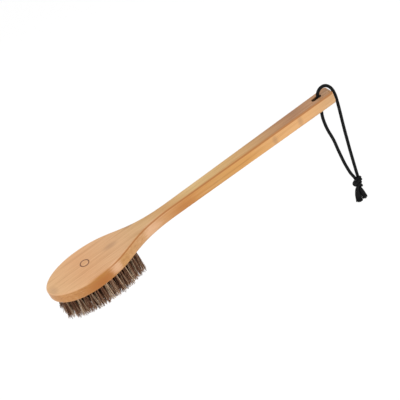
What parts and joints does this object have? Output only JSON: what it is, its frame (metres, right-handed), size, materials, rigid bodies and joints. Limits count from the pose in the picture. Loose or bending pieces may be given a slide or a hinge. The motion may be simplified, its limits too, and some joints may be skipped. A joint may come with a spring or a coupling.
{
  "type": "body dry brush",
  "caption": "Long-handled wooden body brush: oval head filled with natural bristle tufts, straight tapered handle, slot with a knotted hanging cord.",
  "frame": {"origin": "inside the handle where a hand holds it: on the board's centreline at mid thickness, 101 mm in from the handle's end", "axes": "+X along the handle from the head to its end, +Y across the head, +Z out of the plain back of the head; the bristles point to -Z"},
  "size_m": [0.4275, 0.0664, 0.187],
  "materials": {
    "bamboo": "satin lacquered, straight grain along the handle",
    "bristle": "natural hair, dark brown mixed with beige",
    "cord": "black braided cord"
  },
  "bodies": {
    "brush": {"brush_back": "bamboo", "tuft_row_01": "bristle", "tuft_row_02": "bristle", "tuft_row_03": "bristle", "tuft_row_04": "bristle", "tuft_row_05": "bristle", "tuft_row_06": "bristle", "tuft_row_07": "bristle", "tuft_row_08": "bristle", "tuft_row_09": "bristle", "tuft_row_10": "bristle", "tuft_row_11": "bristle", "tuft_row_12": "bristle", "tuft_row_13": "bristle", "tuft_row_14": "bristle", "tuft_row_15": "bristle"},
    "hanging_loop": {"cord_strand_outer": "cord", "cord_strand_inner": "cord", "cord_knot": "cord", "cord_tail_left": "cord", "cord_tail_right": "cord"}
  },
  "joints": [
    {"name": "loop_swing", "type": "hinge", "parent": "brush", "child": "hanging_loop", "pos_m": [0.0893, 0, 0.0085], "axis": [0, -1, 0], "range_deg": [-6, 11]}
  ]
}
